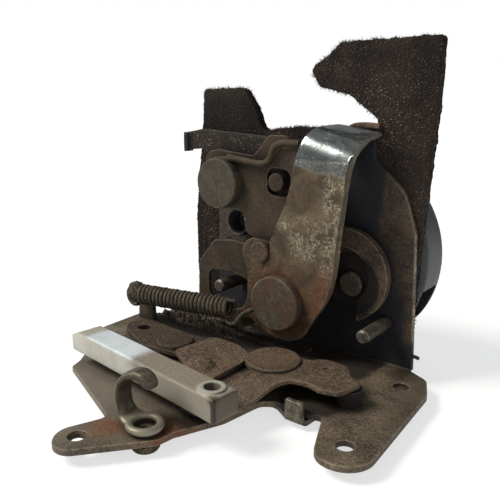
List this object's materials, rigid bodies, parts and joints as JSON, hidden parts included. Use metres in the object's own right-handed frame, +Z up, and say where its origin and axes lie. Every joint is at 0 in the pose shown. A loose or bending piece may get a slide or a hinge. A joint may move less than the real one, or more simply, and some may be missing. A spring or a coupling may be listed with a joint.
{
  "type": "rotary door latch",
  "caption": "Rotary door latch on an L-shaped steel frame, with release and lock levers, a round catch housing, a tension spring, a nylon pull bar and a foam gasket.",
  "frame": {"origin": "centre of the front ear's screw hole, on the base plate's top face", "axes": "+X right along the wall plate, +Y from the levers towards the catch housing, +Z up away from the base plate"},
  "size_m": [0.1238, 0.123, 0.1116],
  "materials": {
    "frame_steel": "grimy, dusty pressed steel",
    "lever_steel": "dusty stamped steel",
    "rusty_steel": "rusted and crusted steel",
    "rivet_steel": "worn steel",
    "zinc_plate": "bright zinc plate, stained",
    "yellow_zinc": "yellow zinc plate, dusty",
    "catch_steel": "hardened steel",
    "housing_grey": "grey paint, satin",
    "spring_steel": "rusty spring wire",
    "foam": "open-cell foam, filthy",
    "nylon": "aged white nylon"
  },
  "bodies": {
    "root": {"base_plate": "frame_steel", "wall_plate": "frame_steel", "foam_gasket": "foam", "rotor_housing": "housing_grey", "housing_cover": "housing_grey", "cover_rivets": "catch_steel", "lower_rivet": "rivet_steel", "upper_rivet": "rivet_steel", "bridge_spacer": "lever_steel", "bridge_plate": "lever_steel", "mounting_boss": "rivet_steel", "spring_post": "frame_steel", "stop_pin": "rivet_steel", "stop_stud": "rivet_steel", "catch_spring": "spring_steel", "inside_spacer": "frame_steel", "lever_bush": "frame_steel", "dome_rivet": "rusty_steel", "crust_rivet": "rusty_steel", "clip_eyelet": "zinc_plate", "tension_spring": "spring_steel"},
    "rotor": {"spindle": "rivet_steel", "fork_bolt": "catch_steel", "ratchet_plate": "lever_steel"},
    "pawl": {"pawl": "lever_steel", "pawl_hub": "lever_steel", "lift_plate": "rusty_steel", "pawl_pin": "rusty_steel"},
    "release": {"release_lever": "zinc_plate"},
    "trip": {"trip_plate": "lever_steel"},
    "lock": {"lock_lever": "lever_steel", "lock_plate": "lever_steel", "lock_pin": "rusty_steel", "lock_hub": "lever_steel"},
    "inside": {"inside_lever": "rusty_steel", "flat_rivet": "rusty_steel", "lug_lever": "yellow_zinc", "bar_pin": "rivet_steel"},
    "bar": {"nylon_bar": "nylon"},
    "transfer": {"transfer_lever": "rusty_steel"},
    "link": {"lock_link": "rusty_steel"},
    "clip": {"rod_clip": "zinc_plate"}
  },
  "joints": [
    {"name": "rotor_turn", "type": "hinge", "parent": "root", "child": "rotor", "pos_m": [-0.0265, 0.0522, 0.027], "axis": [0, 1, 0], "range_deg": [0, 45], "stiffness_Nm_per_rad": 0.05, "springref_deg": -11.46, "deforming": ["catch_spring"]},
    {"name": "release_swing", "type": "hinge", "parent": "root", "child": "release", "pos_m": [-0.047, 0.0522, 0.0195], "axis": [0, 1, 0], "range_deg": [-7, 0], "stiffness_Nm_per_rad": 0.3, "springref_deg": 8.59},
    {"name": "pawl_lift", "type": "hinge", "parent": "root", "child": "pawl", "pos_m": [-0.047, 0.0522, 0.0195], "axis": [0, 1, 0], "range_deg": [-7, 0], "deforming": ["tension_spring"]},
    {"name": "trip_swing", "type": "hinge", "parent": "root", "child": "trip", "pos_m": [-0.047, 0.0522, 0.0195], "axis": [0, 1, 0], "range_deg": [-3.5, 0]},
    {"name": "lock_swing", "type": "hinge", "parent": "root", "child": "lock", "pos_m": [-0.0773, 0.0522, 0.057], "axis": [0, 1, 0], "range_deg": [-3, 3]},
    {"name": "inside_swing", "type": "hinge", "parent": "root", "child": "inside", "pos_m": [-0.0372, 0.0186, 0], "axis": [0, 0, 1], "range_deg": [-5, 0], "stiffness_Nm_per_rad": 0.2, "springref_deg": 5.73},
    {"name": "bar_swing", "type": "hinge", "parent": "inside", "child": "bar", "pos_m": [-0.041, -0.0131, 0], "axis": [0, 0, 1], "range_deg": [0, 5]},
    {"name": "transfer_swing", "type": "hinge", "parent": "root", "child": "transfer", "pos_m": [-0.0544, 0.0029, 0], "axis": [0, 0, 1], "range_deg": [-3, 3]},
    {"name": "link_swing", "type": "hinge", "parent": "root", "child": "link", "pos_m": [-0.0763, 0.0136, 0], "axis": [0, 0, 1], "range_deg": [-8, 8]},
    {"name": "clip_turn", "type": "hinge", "parent": "root", "child": "clip", "pos_m": [-0.0462, -0.0278, 0], "axis": [0, 0, 1], "range_deg": [0, 25]}
  ],
  "couplings": [
    {"joint": "pawl_lift", "follows": "release_swing", "ratio": 1},
    {"joint": "trip_swing", "follows": "release_swing", "ratio": 0.5},
    {"joint": "bar_swing", "follows": "inside_swing", "ratio": -1}
  ]
}
